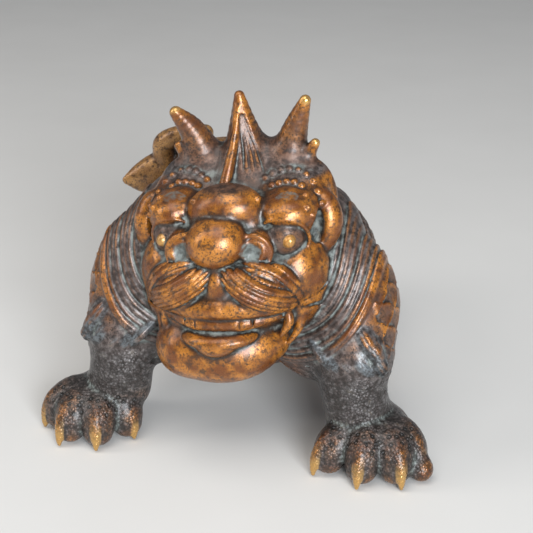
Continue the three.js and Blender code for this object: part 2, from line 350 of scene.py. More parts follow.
def shape_brows_and_eyes(face):
    """Brows and their outer ends, the boss between them, the eyes with their pupils, and the lids."""
    face.lay_all(BROWS, 2.5)
    face.lay_all(BROW_ENDS, 4.0)
    face.pair(lump, (9.6, 4.0, 98.6), (6.0, 5.8, 6.0), blend=3)
    face.clay.lay(BOSS, 3.0)
    face.lay_all(EYES, 0.9)
    face.lay_all(PUPILS, 0.6)
    face.pair(rope, [(13.6, 3.4, 98), (17, 0.6, 102.2), (23.5, -0.2, 103.2), (29.2, 2.4, 100.4),
                     (31.6, 5.2, 94.5), (30.6, 5.4, 88.5)], [0.4, 0.55, 0.6, 0.7, 0.7, 0.4], blend=0.7)


def shape_nose(face):
    """Ball nose over two dished wings, each with a raised rim."""
    face.lay_all(WINGS, 1.6)
    face.carve_all(WING_HOLLOWS, 0.6)
    for side, aside in ((1, -1.2), (-1, 0.2)):
        rim = sided(side, (10.5, -4.6, 98.0), (14.5, -4.4, 98.8), (18.6, -3.9, 96.2), (20.4, -3.4, 92),
                    (19.4, -3.8, 88), (16.6, -4.8, 86)) + (aside, 0, 0)
        face.lay(rope, rim, [0.5, 0.8, 0.95, 0.95, 0.8, 0.5], blend=0.8)
    face.clay.lay(NOSE, 2.0)


def shape_moustache(face):
    """The muzzle's middle and two pairs of grooved locks swept out from under the nose."""
    face.lay(lump, (0, -2, 81.5), (6, 9.5, 8), blend=3)
    face.pair(rope, [(8, -5.6, 87.0), (14.5, -6.0, 86.2), (21.5, -3.4, 82.4), (26, 0.8, 76),
                     (27.6, 3.8, 70.2)],
              [1.8, 3.4, 4.6, 4.8, 3.0], blend=0.8, right=0.96, grooves=(2.3, 0.75))
    face.pair(rope, [(2.6, -7.4, 86.6), (8.5, -8.8, 82.2), (15.2, -7.6, 78.2), (21.2, -4.0, 74.8),
                     (25.8, 0.2, 71.6)],
              [2.2, 5.2, 6.8, 6.2, 3.0], blend=0.8, right=0.96, grooves=(2.1, 0.8))


def shape_mouth(face):
    """Jaw and chin, upper lip, teeth, jutting lower lip, folds at the corners and lines on the cheeks."""
    face.lay(lump, (-1.5, 7, 51.5), (26, 17.5, 14), blend=3)
    face.lay(lump, (-1.0, -0.5, 48.0), (18.5, 10.6, 10.2), blend=6)
    face.lay(lump, (-15.0, 3.0, 50.5), (11.5, 12, 11.5), blend=5)
    face.pair(rope, [(0, -8.8, 71.0), (9, -8.2, 70.8), (18, -5.6, 70.0), (26, -0.8, 69.0)],
              [3.4, 3.2, 2.6, 1.6], blend=2.0)
    face.pair(rope, [(0, -8.8, 64.9), (8, -8.2, 65.0), (15, -5.8, 65.3), (21.5, -1.8, 65.6)],
              [3.0, 2.9, 2.5, 1.7], blend=0.5)
    face.lay(lump, (0, -4.6, 58.6), (14.6, 10.6, 4.4), blend=0.6)
    face.lay(lump, (0, -6.8, 56.6), (8.5, 8.6, 4.8), blend=1.4)
    face.pair(rope, [(24.8, 0.4, 66.4), (25.2, 0.2, 62), (22.8, -1.4, 57.4)], [1.0, 1.9, 0.8], blend=1.6)
    face.pair(rope, [(28.6, 4.6, 65.6), (28.6, 4.6, 59), (25.0, 2.4, 52.6)], [1.0, 1.7, 0.8], blend=1.6)
    face.crease([(0, -12.6, 67.6), (9, -11.8, 67.5), (18, -8.4, 67.4), (27, -1.8, 67.2), (33, 5.5, 66.8),
                 (37, 13, 66.0)], [0.8, 0.8, 0.9, 1.0, 0.9, 0.5])
    face.crease([(0, -12.8, 62.2), (9, -11.2, 62.4), (15.5, -7.6, 63.1), (21.5, -3.4, 64.2)],
                [0.8, 0.9, 0.8, 0.6])
    for gap in (3.4, 9.0, 13.6):
        back = 0.02 * gap**2
        face.crease([(gap, back - 12.3, 66.6), (gap, back - 12.1, 63.4)], [0.55, 0.45], 0.4)
    face.crease([(30.5, 3.2, 70.5), (35.5, 8.5, 72.6), (38.6, 15, 76)], [0.5, 0.6, 0.4])
    face.crease([(33, 6.5, 62), (35.5, 9, 56), (30.5, 7, 48)], [0.5, 0.7, 0.4])


def shape_ears(face):
    """Ear lobes and the hollow before each, and the roll of hair that runs from the crown to the ear."""
    face.lay_all(EARS, 1.4)
    face.hollow((33.0, 11.4, 96.5), (2.6, 3.6, 6.4), blend=1.6)
    face.pair(rope, [(9, 25, 110.5), (15, 26, 114.2), (23, 27, 115.2), (30, 28, 111.4), (34, 28.5, 103.5),
                     (35.5, 28, 96)], [2.6, 3.4, 3.8, 3.6, 3.0, 2.0], blend=3.0)


def shape_brow_beads(face):
    """Two rows of beads over each brow, each bead set on the surface behind it."""
    lower_row = [(12.4, 0, 109.6), (17.6, 0, 111.6), (23.4, 0, 112.0), (28.8, 0, 108.8), (32.4, 0, 102.8)]
    upper_row = [(12, 0, 112.1), (17.5, 0, 114.5), (23.8, 0, 114.9), (30, 0, 111.4), (34.2, 0, 104.4)]
    for row in (lower_row, upper_row):
        trail, _ = flowing(row, np.ones(len(row)), 2)
        for across in (1.0, -RIGHT_HALF):
            places = trail * (across, 1, 1) + trail[:, :1] * (0, 0, across * FACE_LEAN)
            for at in settle(face.clay, places):
                face.clay.lay(lump(at, (1.35, 1.25, 1.2)), 0.3)


def shape_horns(face):
    """Saddles between the horns, the horns with their spurs, and the crown horn's ridge and grooves."""
    clay = face.clay
    clay.lay(rope([(3, 31, 113), (14, 32, 114.5)], [9.5, 9.5]), 6.0)
    clay.lay(rope([(-3, 31, 108), (-12, 32, 107.5)], [9, 9]), 7.0)
    face.lay_all((CROWN_HORN, LEFT_HORN, RIGHT_HORN), 5.0)
    face.lay_all((LEFT_SPUR, RIGHT_SPUR), 2.0)
    clay.lay(HORN_RIDGE, 1.6)
    for aside in (-3.6, 2.4, 4.2, 6.0, 7.8):
        groove = np.array([(1.35 * aside, 0, 115.5), (0.95 * aside, 0, 122), (0.55 * aside - 0.3, 0, 129),
                           (0.25 * aside - 0.5, 0, 135)])
        clay.carve(rope(settle(clay, groove), [0.3, 0.6, 0.55, 0.3]), 0.5)


def head_clay(clay):
    """The head: broad skull, boss, brows, ball nose, moustache and wide mouth, tilted by the lean."""
    face = Face(clay)
    shape_skull(face)
    shape_brows_and_eyes(face)
    shape_nose(face)
    shape_moustache(face)
    shape_mouth(face)
    shape_ears(face)
    shape_brow_beads(face)
    shape_horns(face)


FOREPAW_PALM = (56.8, 18.5)
LEFT_TIPS = [(35.6, -2.7), (54.0, -8.2), (70.8, -4.3), (77.4, 6.4)]
RIGHT_TIPS = [(-40, 6), (-52, -6.5), (-68, -6.5), (-79.5, 6)]
HIND_PALM = (32.0, 103.0)
HIND_REACH = 23.0
HIND_FAN = (-42, -12, 14, 40)


def hind_tips(side):
    """Claw tips spread in a fan before the hind paw's palm."""
    angle = np.radians(HIND_FAN)
    return [(side * (HIND_PALM[0] + HIND_REACH * np.sin(a)), HIND_PALM[1] - HIND_REACH * np.cos(a))
            for a in angle]


def toe_shapes(palm, tip, size):
    """A toe's fleshy part and its claw, from the palm's centre to the claw's tip on the floor."""
    palm = np.array(palm)
    run = np.array(tip) - palm

    def at(part, height):
        return (*(palm + part * run), height)

    flesh = rope([at(0.15, 12.4 * size), at(0.44, 13.4 * size), at(0.66, 11.0 * size), at(0.74, 6.4 * size)],
                 np.array([8.4, 8.6, 7.6, 6.2]) * size)
    claw = rope([at(0.62, 16.6 * size), at(0.80, 15.0 * size), at(0.93, 9.6 * size), at(0.975, 4.4 * size),
                 at(0.985, 1.2)], np.array([1.5, 2.5, 2.3, 1.6, 0.8]) * size)
    return flesh, claw


PAWS = [((side * FOREPAW_PALM[0], FOREPAW_PALM[1]), tips, 1.0)
        for side, tips in ((1, LEFT_TIPS), (-1, RIGHT_TIPS))]
PAWS += [((side * HIND_PALM[0], HIND_PALM[1]), hind_tips(side), 0.86) for side in SIDES]
TOES = [toe_shapes(palm, tip, size) for palm, tips, size in PAWS for tip in tips]
CLAWS = [claw for flesh, claw in TOES]


STAMP_ROWS = ((62, (-40, 5, 50)), (40, (-62, -24, 14, 52)), (18, (-44, -6, 32)))  # height and turns, degrees
KNUCKLE_PART = 0.56  # how far along a toe its knuckle stands
KNUCKLE_HEIGHT = 12.4
KNUCKLE_RADIUS = 8.8
STAMP_LIMIT = 5.0  # rings are felt for no farther than this
STAMP_TOP = 26.0  # no ring is higher than this
STAMP_STRAY = 3.5  # a ring with no surface this near is left out


def knuckle_stamps():
    """Middles of the small rings punched on the knuckles: staggered over the front and top of each one."""
    middles = []
    for palm, tips, size in PAWS:
        for tip in tips:
            run = np.array(tip) - np.array(palm)
            ahead = np.array([*run, 0]) / np.linalg.norm(run)
            aside = np.array([-ahead[1], ahead[0], 0])
            knuckle = np.array([*(np.array(palm) + KNUCKLE_PART * run), KNUCKLE_HEIGHT * size])
            for above, turns in STAMP_ROWS:
                rise = np.radians(above)
                for turn in np.radians(turns):
                    level = np.cos(turn) * ahead + np.sin(turn) * aside
                    way = np.cos(rise) * level + (0, 0, np.sin(rise))
                    middles.append(knuckle + KNUCKLE_RADIUS * size * way)
    return np.array(middles)


def stamp_reach(points):
    """Distance in millimetres from each point to the middle of the nearest ring, up to the limit.

    Each ring is first moved to the surface point nearest to it, and left out if none is near.
    """
    reach = np.full(len(points), STAMP_LIMIT)
    low = np.flatnonzero(points[:, 2] < STAMP_TOP)
    for middle in knuckle_stamps():
        gaps = np.linalg.norm(points[low] - middle, axis=1)
        if gaps.min(initial=STAMP_LIMIT) < STAMP_STRAY:
            seat = points[low[np.argmin(gaps)]]
            reach[low] = np.minimum(reach[low], np.linalg.norm(points[low] - seat, axis=1))
    return reach


def mane_frame(x, z):
    """Where a point lies in the mane's C-shaped strands: distance out from their middle, and angle."""
    out = np.abs(x) - 20.0
    rise = z - 92.0
    rise = rise * np.where(rise < 0.0, 0.72, 1.4)
    return np.sqrt(out * out + rise * rise), np.arctan2(rise, out)


MANE_RIM = 37.0


def strand_relief(x, y, z):
    """Grooves between the mane's strands: a cosine across them, each third one deeper, and a raised rim."""
    out, angle = mane_frame(x, z)
    wander = 0.7 * np.sin(2.2 * angle + 0.09 * out) + 0.35 * np.sin(5.1 * angle + 1.3)
    ring = out + wander
    fine = (0.5 - 0.5 * np.cos(2 * np.pi * ring / 2.1)) ** 3
    broad = (0.5 - 0.5 * np.cos(2 * np.pi * ring / 6.3)) ** 6
    inside = smooth_ramp(9.0, 14.0, out) * (1 - smooth_ramp(MANE_RIM, MANE_RIM + 1.0, ring))
    rim = smooth_ramp(MANE_RIM - 4.5, MANE_RIM - 2.5, ring)
    rim = rim * (1 - smooth_ramp(MANE_RIM, MANE_RIM + 1.2, ring))
    fore = (1 - smooth_ramp(48.0, 56.0, y)) * smooth_ramp(30.0, 38.0, z)
    return fore * (inside * (0.42 * fine + 0.75 * broad) - 0.9 * rim)


def scale_relief(x, y, z):
    """Overlapping scales in rows round the body. Each is a disc that rises towards its own tip."""
    out, _ = mane_frame(x, z)
    turn = np.arctan2(x, z - 44.0)
    row = y / 6.0
    column = turn * 6.4
    first = np.floor(row)
    height = np.zeros(np.broadcast_shapes(x.shape, y.shape, z.shape), np.float32)
    taken = np.zeros(height.shape, bool)
    for back in (2, 1, 0):
        start = first - back
        offset = column - 0.5 * np.mod(start, 2)
        aside = offset - np.round(offset)
        along = (row - start) / 1.62
        reach = np.sqrt((aside * 1.75) ** 2 + np.maximum(along, 0) ** 2)
        here = (reach < 1.0) & ~taken
        height = np.where(here, 0.25 + 0.75 * reach**2, height)
        taken |= here
    covered = np.where(y < 50.0, smooth_ramp(MANE_RIM + 0.8, MANE_RIM + 2.5, out), 1.0)
    covered = covered * smooth_ramp(24.0, 36.0, z)
    return (0.9 - 1.5 * height) * covered


def elbow_tuft(side, out, top, length):
    """A grooved lock that hangs from top, out from the middle, over the elbow's front."""
    path = sided(side, (out - 6, 13.5, top), (out - 0.5, 9.6, top - length * 0.45),
                 (out + 1.5, 11.0, top - length * 0.85), (out - 0.5, 12.0, top - length))
    return rope(path, [2.6, 3.4, 1.8, 0.7], grooves=(1.9, 0.6))


def cuff_lock(side, out, drop):
    """A short grooved lock that curls outwards across the foreleg, lower by drop."""
    path = sided(side, (out - 5, 10, 52 + drop), (out - 1, 7.0, 48 + drop), (out + 2.5, 7.4, 45.0 + drop),
                 (out + 5, 9, 44.5 + drop))
    return rope(path, [1.2, 1.9, 1.7, 0.7], grooves=(1.5, 0.35))


TUFTS = [elbow_tuft(side, *place) for side in SIDES
         for place in ((54, 61, 14), (57, 57, 13), (58.5, 52, 11), (52, 54, 11))]
CUFFS = [cuff_lock(side, *place) for side in SIDES for place in ((37, 0), (42, -1.8), (47, -2.4), (52, -1.0))]


def body_clay(clay):
    """Chest, mane, barrel, rump, legs and paws."""
    lay = clay.lay
    lay(lump((-0.5, 52, 57), (42.5, 37, 35.5)), 2.0)
    lay(lump((0, 92, 50), (36.5, 45.5, 32)), 8.0)
    lay(lump((0, 124, 44), (35.5, 27.5, 27.5)), 8.0)
    for shape in both_sides(lump, (33, 28, 62), (27, 19, 35)):
        lay(shape, 4.0)
    for shape in both_sides(lump, (29, 37, 84), (17, 17, 22)):
        lay(shape, 6.0)
    for shape in both_sides(lump, (46, 31, 60), (14.5, 17, 24)):
        lay(shape, 4.0)
    for side in SIDES:
        lay(lump(sided(side, (27, 113, 38))[0], (13, 25.5, 19.5)), 4.0)
        lay(rope(sided(side, (28, 116, 30), (32, 112, 24), (32, 104, 15)), [14, 12, 9.5]), 5.0)
        lay(rope(sided(side, (44, 26, 60), (47, 20, 46), (47.5, 16.5, 32), (49.5, 17, 20)),
                 [17, 15.2, 13.0, 13]), 5.0)
    for palm, _, size in PAWS:
        lay(lump((*palm, 10.5 * size), np.array([14.4, 14.5, 13]) * size), 4.0)
    for flesh, claw in TOES:
        lay(flesh, 1.8)
    clay.chase((-90, -20, 26), (90, 60, 130), strand_relief)
    clay.chase((-70, 14, 22), (70, 170, 130), scale_relief)
    for claw in CLAWS:
        lay(claw, 1.4)
    lay(lump((76.8, 5.6, 5.0), (4.6, 4.8, 4.8)), 3.0)
    for shape in TUFTS:
        lay(shape, 1.0)
    for shape in CUFFS:
        lay(shape, 2.2)


def level_floor(clay, blend=0.6):
    """Cuts everything off flat at the floor."""
    z = clay.axes[2][None, None, :]
    clay.depth = soft_max(clay.depth, -z + 0.05, blend)


TAIL_STEM = rope([(0, 138, 46), (0, 146, 52), (-8, 156, 62), (-27, 155, 74), (-44, 140, 79), (-53, 126, 78)],
                 [9.5, 9, 8.5, 7.5, 6.8, 6.2], grooves=(3.2, 0.8))
TAIL_CURL = rope([(-55, 122, 77), (-59.5, 116, 83), (-60, 113.5, 90), (-55, 112, 94.5), (-47, 112, 97.3),
                  (-39.5, 112, 97.8)], [6, 5.4, 5, 4.4, 3.8, 3.7])
TAIL_LEAF = rope([(-54, 121, 77.5), (-61, 116, 76.5), (-68, 112.5, 74), (-77, 109, 72.8)],
                 [7.0, 9.4, 8.0, 2.2], squash=0.62)
TAIL_BUD = rope([(-53, 117, 82), (-43, 115, 87), (-33, 113, 92)], [4.5, 4.5, 3.2])


def tail_clay(clay):
    """The tail's stem and its curl, leaf and bud."""
    clay.lay(TAIL_STEM, 1.0)
    clay.lay(TAIL_LEAF, 3.0)
    clay.lay(TAIL_CURL, 2.0)
    clay.lay(TAIL_BUD, 2.0)


# ---------------------------------------------------------------- skin: a surface drawn round the clay

CORNERS = np.array(list(np.ndindex(2, 2, 2)))


def skin(clay):
    """Points and outward quads where the distance is zero.

    Each cell the surface passes through has one point, the mean of the places where its edges cross
    zero. Each grid line that crosses the surface has one quad, joining the four cells round it.
    """
    depth = clay.depth
    inside = depth < 0
    counts = np.zeros(np.array(inside.shape) - 1, np.int8)
    for corner in CORNERS:
        counts += inside[tuple(slice(c, size - 1 + c) for c, size in zip(corner, inside.shape))]
    active = (counts > 0) & (counts < 8)
    cells = np.argwhere(active)
    number = np.full(active.shape, -1, np.int32)
    number[active] = np.arange(len(cells))
    total = np.zeros((len(cells), 3))
    hits = np.zeros(len(cells))
    for start in CORNERS:
        for axis in range(3):
            if start[axis]:
                continue
            end = start.copy()
            end[axis] = 1
            a = depth[tuple((cells + start).T)]
            b = depth[tuple((cells + end).T)]
            cross = (a < 0) != (b < 0)
            part = np.where(cross, a / np.where(cross, a - b, 1.0), 0.0)
            total += cross[:, None] * start
            total[:, axis] += part
            hits += cross
    points = clay.low + clay.step * (cells + total / hits[:, None])
    quads = []
    for axis in range(3):
        across, along = [i for i in range(3) if i != axis]
        near_part = [slice(1, -1)] * 3
        near_part[axis] = slice(0, -1)
        far_part = [slice(1, -1)] * 3
        far_part[axis] = slice(1, None)
        low_in = inside[tuple(near_part)]
        high_in = inside[tuple(far_part)]
        lines = np.argwhere(low_in != high_in)
        leaving = low_in[tuple(lines.T)]
        lines = lines + 1
        lines[:, axis] -= 1
        ring = []
        for da, db in ((0, 0), (1, 0), (1, 1), (0, 1)):
            cell = lines.copy()
            cell[:, across] -= da
            cell[:, along] -= db
            ring.append(number[tuple(cell.T)])
        quad = np.stack(ring, axis=1)
        turned = leaving if axis != 1 else ~leaving
        quad[~turned] = quad[~turned][:, ::-1]
        quads.append(quad)
    quads = np.concatenate(quads)
    for _ in range(2):
        points = points - clay.slope(points) * clay.read(points)[:, None] * 0.9
    return points, clay.slope(points), quads


def spread(samples, reach):
    """Box blur of samples over 2 * reach + 1 in each direction, by running sums."""
    for axis in range(3):
        sums = np.cumsum(np.pad(samples, [(reach + 1, reach) if i == axis else (0, 0) for i in range(3)],
                                mode="edge"), axis=axis, dtype=np.float32)
        size = samples.shape[axis]
        width = 2 * reach + 1
        ends = np.take(sums, np.arange(width, width + size), axis=axis)
        samples = (ends - np.take(sums, np.arange(size), axis=axis)) / width
    return samples


def hollowness(clay, points, reach):
    """How much metal stands round each point: 0.5 on a flat, more in a hollow, less on an edge."""
    solid = np.clip(0.5 - clay.depth / clay.step, 0, 1).astype(np.float32)
    blurred = spread(solid, max(1, int(round(reach / clay.step))))
    return clay.read(points, blurred)


def rim_loops(quads, count):
    """Directed edges that lack a partner running back, and a loop number for each of them.

    Each edge counts 1 for a quad that runs along it upwards in point number and -1 for one that runs
    down. What is left over is the rim.
    """
    a = quads.ravel().astype(np.int64)
    b = np.roll(quads, -1, axis=1).ravel().astype(np.int64)
    edges, place = np.unique(np.minimum(a, b) * count + np.maximum(a, b), return_inverse=True)
    excess = np.rint(np.bincount(place, np.where(a < b, 1, -1))).astype(int)
    rim = np.repeat(np.arange(len(edges)), np.abs(excess))
    lower, upper = edges[rim] // count, edges[rim] % count
    a = np.where(excess[rim] > 0, lower, upper)
    b = np.where(excess[rim] > 0, upper, lower)
    loop = np.arange(count)
    while True:
        lowest = np.minimum(loop[a], loop[b])
        fresh = loop.copy()
        np.minimum.at(fresh, a, lowest)
        np.minimum.at(fresh, b, lowest)
        fresh = fresh[fresh]
        if np.array_equal(fresh, loop):
            return a, b, loop[a]
        loop = fresh


# Pieces that aren't named after the casting whose place they take.
NODE_OF = {"head": "head_shell", "jaw": "lower_jaw", "chest_left": "torso_shell",
           "chest_right": "torso_shell", "back": "torso_shell"}


def cast_piece(label, surface, keep, slot):
    """One piece of the skin as a closed mesh: its quads, and a fan over each open rim."""
    name = label + "_skin"
    points, normals, quads, marks = surface
    used, quads = np.unique(quads[keep], return_inverse=True)
    quads = quads.reshape(-1, 4)
    points, normals = points[used], normals[used]
    marks = {key: value[used] for key, value in marks.items()}
    a, b, loop = rim_loops(quads, len(used))
    labels, member = np.unique(loop, return_inverse=True)
    share = np.bincount(member, minlength=len(labels))[:, None]
    middles = np.stack([np.bincount(member, points[a, i], len(labels)) for i in range(3)], axis=1) / share
    fans = np.stack([b, a, len(used) + member], axis=1)
    corners = np.vstack([points, middles])
    edge_one = corners[fans[:, 1]] - corners[fans[:, 0]]
    fan_normals = np.cross(edge_one, corners[fans[:, 2]] - corners[fans[:, 0]])
    fan_normals /= np.maximum(np.linalg.norm(fan_normals, axis=1, keepdims=True), 1e-9)
    mesh = bpy.data.meshes.new(name)
    mesh.vertices.add(len(corners))
    mesh.vertices.foreach_set("co", to_row(corners).astype(np.float32).ravel())
    mesh.loops.add(quads.size + fans.size)
    mesh.loops.foreach_set("vertex_index", np.concatenate([quads.ravel(), fans.ravel()]).astype(np.int32))
    mesh.polygons.add(len(quads) + len(fans))
    starts = np.concatenate([4 * np.arange(len(quads)), quads.size + 3 * np.arange(len(fans))])
    mesh.polygons.foreach_set("loop_start", starts.astype(np.int32))
    mesh.update(calc_edges=True)
    mesh.polygons.foreach_set("use_smooth", np.ones(len(mesh.polygons), bool))
    for key, value in marks.items():
        padded = np.concatenate([value, np.full(len(middles), 0.5)]).astype(np.float32)
        mesh.attributes.new(key, "FLOAT", "POINT").data.foreach_set("value", padded)
    corner_normals = np.vstack([normals[quads.ravel()], np.repeat(fan_normals, 3, axis=0)])
    mesh.normals_split_custom_set(corner_normals.tolist())
    piece = bpy.data.objects.new(name, mesh)
    bpy.context.collection.objects.link(piece)
    mesh.materials.append(FINISHES[slot])
    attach(piece, "root")
    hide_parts(NODE_OF.get(label, label))


# ---------------------------------------------------------------- finish: patinated bronze

class Graph:
    """Small helper for laying out a material's nodes."""

    def __init__(self, name):
        self.material = bpy.data.materials.new(name)
        self.material.use_nodes = True
        self.nodes = self.material.node_tree.nodes
        self.links = self.material.node_tree.links
        self.shader = self.nodes["Principled BSDF"]
        self.place = self.add("ShaderNodeTexCoord").outputs["Object"]

    def add(self, kind, **values):
        node = self.nodes.new(kind)
        for key, value in values.items():
            setattr(node, key, value)
        return node

    def feed(self, socket, value):
        if isinstance(value, bpy.types.NodeSocket):
            self.links.new(value, socket)
        elif isinstance(value, tuple) and len(value) == 3:
            socket.default_value = (*value, 1.0)
        else:
            socket.default_value = value

    def mark(self, name):
        return self.add("ShaderNodeAttribute", attribute_name=name).outputs["Fac"]

    def pattern(self, kind, size_mm):
        node = self.add(kind)
        self.links.new(self.place, node.inputs["Vector"])
        node.inputs["Scale"].default_value = 1.0 / (size_mm * MM)
        return node

    def noise(self, size_mm, detail, roughness=0.55):
        """Cloudy pattern with features about size_mm across."""
        node = self.pattern("ShaderNodeTexNoise", size_mm)
        node.inputs["Detail"].default_value = detail
        node.inputs["Roughness"].default_value = roughness
        return node.outputs["Fac"]

    def cells(self, size_mm):
        """Distance to the middle of the nearest of many cells about size_mm across."""
        return self.pattern("ShaderNodeTexVoronoi", size_mm).outputs["Distance"]

    def reckon(self, kind, a, b, clamp=False):
        node = self.add("ShaderNodeMath", operation=kind, use_clamp=clamp)
        self.feed(node.inputs[0], a)
        self.feed(node.inputs[1], b)
        return node.outputs[0]

    def plus(self, a, b, clamp=False):
        return self.reckon("ADD", a, b, clamp)

    def minus(self, a, b, clamp=False):
        return self.reckon("SUBTRACT", a, b, clamp)

    def times(self, a, b):
        return self.reckon("MULTIPLY", a, b)

    def larger(self, a, b):
        return self.reckon("MAXIMUM", a, b)

    def ramp(self, value, low, high, to_low=0.0, to_high=1.0):
        node = self.add("ShaderNodeMapRange", clamp=True, interpolation_type="SMOOTHSTEP")
        self.feed(node.inputs["Value"], value)
        for key, number in (("From Min", low), ("From Max", high), ("To Min", to_low), ("To Max", to_high)):
            node.inputs[key].default_value = number
        return node.outputs[0]

    def mix(self, amount, a, b):
        node = self.add("ShaderNodeMix", data_type="RGBA")
        self.feed(node.inputs["Factor"], amount)
        self.feed(node.inputs[6], a)
        self.feed(node.inputs[7], b)
        return node.outputs[2]

    def bump(self, height, distance_mm, strength, under=None):
        node = self.add("ShaderNodeBump")
        node.inputs["Strength"].default_value = strength
        node.inputs["Distance"].default_value = distance_mm * MM
        self.feed(node.inputs["Height"], height)
        if under is not None:
            self.links.new(under, node.inputs["Normal"])
        return node.outputs["Normal"]


AMBER_LIGHT = (0.46, 0.172, 0.024)
AMBER_DEEP = (0.155, 0.047, 0.009)
# dark amber: dark patches in the metal, and painted shade towards hollows
AMBER_PATCH_AND_SHADE = (0.052, 0.020, 0.010)
UMBER_LIGHT = (0.155, 0.060, 0.024)
UMBER_DEEP = (0.036, 0.019, 0.013)
ASH_LIGHT = (0.128, 0.144, 0.155)
ASH_DEEP = (0.026, 0.026, 0.027)
VERDIGRIS_LIGHT = (0.175, 0.20, 0.19)
VERDIGRIS_DEEP = (0.052, 0.058, 0.052)
# near black: the dark specks and punched grooves, and painted shade in the hollows
SPECK_AND_SHADE_BLACK = (0.012, 0.010, 0.008)
BRASS = (0.58, 0.34, 0.105)


# What each mark is where a casting has none of its own: even, bright metal.
UNMARKED = {"hollow_fine": 0.5, "hollow_broad": 0.5, "polish": 0.9, "ash": 0.0, "gild": 0.0,
            "stipple": 0.0, "stamps": STAMP_LIMIT, "green": 0.0}


def bare_metal(g, dips, mottle, patches, clouds, marks, light, deep):
    """Colour before the specks, crust and near-black painted shade, and how worn it is: amber worn through an
    umber and ash ground.

    Polish shows the amber and hollows hide it, more so where the polish is greater: partly wear that misses
    the hollows, partly painted shade. The amber is also darkened towards hollows as painted shade.
    """
    # partly painted shade: less worn amber shows towards hollows
    hiding = g.times(dips, g.plus(g.times(marks["polish"], 0.65), 0.38))
    wear_and_shade = g.plus(g.minus(marks["polish"], hiding), g.times(mottle, 0.6))
    rubbed_unshaded = g.ramp(wear_and_shade, 0.30, 0.74)
    amber = g.mix(g.ramp(clouds, 0.36, 0.64), deep, light)
    amber = g.mix(g.ramp(patches, 0.50, 0.66, 0.0, 0.88), amber, AMBER_PATCH_AND_SHADE)
    # painted shade: the amber darkens towards hollows and creases
    shade = g.ramp(g.plus(dips, g.times(mottle, 0.5)), -0.12, 0.26, 0.0, 0.80)
    amber = g.mix(shade, amber, AMBER_PATCH_AND_SHADE)
    umber = g.mix(g.ramp(patches, 0.35, 0.68), UMBER_DEEP, UMBER_LIGHT)
    grey = g.mix(g.ramp(patches, 0.36, 0.64), ASH_DEEP, ASH_LIGHT)
    ground = g.mix(g.plus(marks["ash"], g.times(mottle, 0.9), True), umber, grey)
    return g.mix(rubbed_unshaded, ground, amber), rubbed_unshaded


def dirt_and_shade(g, colour, dips, mottle, patches, clouds, grain, marks):
    """Dark specks, painted shade darkening the hollows, crust settled in them and painted deep shade at the
    bottom.
    """
    specks = g.times(g.ramp(grain, 0.52, 0.60), g.ramp(clouds, 0.34, 0.58))
    colour = g.mix(g.times(specks, 0.85), colour, SPECK_AND_SHADE_BLACK)
    # painted shade: near black, growing with how hollow the surface is
    painted_shade = g.ramp(g.plus(dips, g.times(mottle, 0.35)), 0.10, 0.42, 0.0, 0.88)
    colour = g.mix(painted_shade, colour, SPECK_AND_SHADE_BLACK)
    crust = g.mix(g.ramp(patches, 0.36, 0.62), VERDIGRIS_DEEP, VERDIGRIS_LIGHT)
    settled = g.plus(g.times(dips, 0.75), g.plus(marks["green"], g.times(mottle, 0.75)))
    crusted = g.ramp(settled, 0.24, 0.60, 0.0, 0.88)
    colour = g.mix(crusted, colour, crust)
    # painted deep shade: near black at the bottom of the deepest hollows
    painted_deep_shade = g.ramp(g.plus(dips, g.times(mottle, 0.5)), 0.70, 1.15, 0.0, 0.85)
    return g.mix(painted_deep_shade, colour, SPECK_AND_SHADE_BLACK), crusted, painted_deep_shade


def punching(g, colour, marks):
    """Pebbled ground and small rings, dark in their grooves. Returns the colour and both heights."""
    pebbles = g.cells(1.15)
    pebbled = g.times(g.ramp(pebbles, 0.30, 0.62), marks["stipple"])
    colour = g.mix(g.times(pebbled, 0.65), colour, SPECK_AND_SHADE_BLACK)
    ring = g.times(g.ramp(marks["stamps"], 0.40, 0.62), g.ramp(marks["stamps"], 0.85, 1.15, 1.0, 0.0))
    colour = g.mix(g.times(ring, 0.92), colour, SPECK_AND_SHADE_BLACK)
    dot = g.ramp(marks["stamps"], 0.25, 0.45, 1.0, 0.0)
    colour = g.mix(g.times(dot, 0.45), colour, ASH_LIGHT)
    return colour, g.times(g.minus(1.0, pebbles), marks["stipple"]), g.minus(dot, ring)


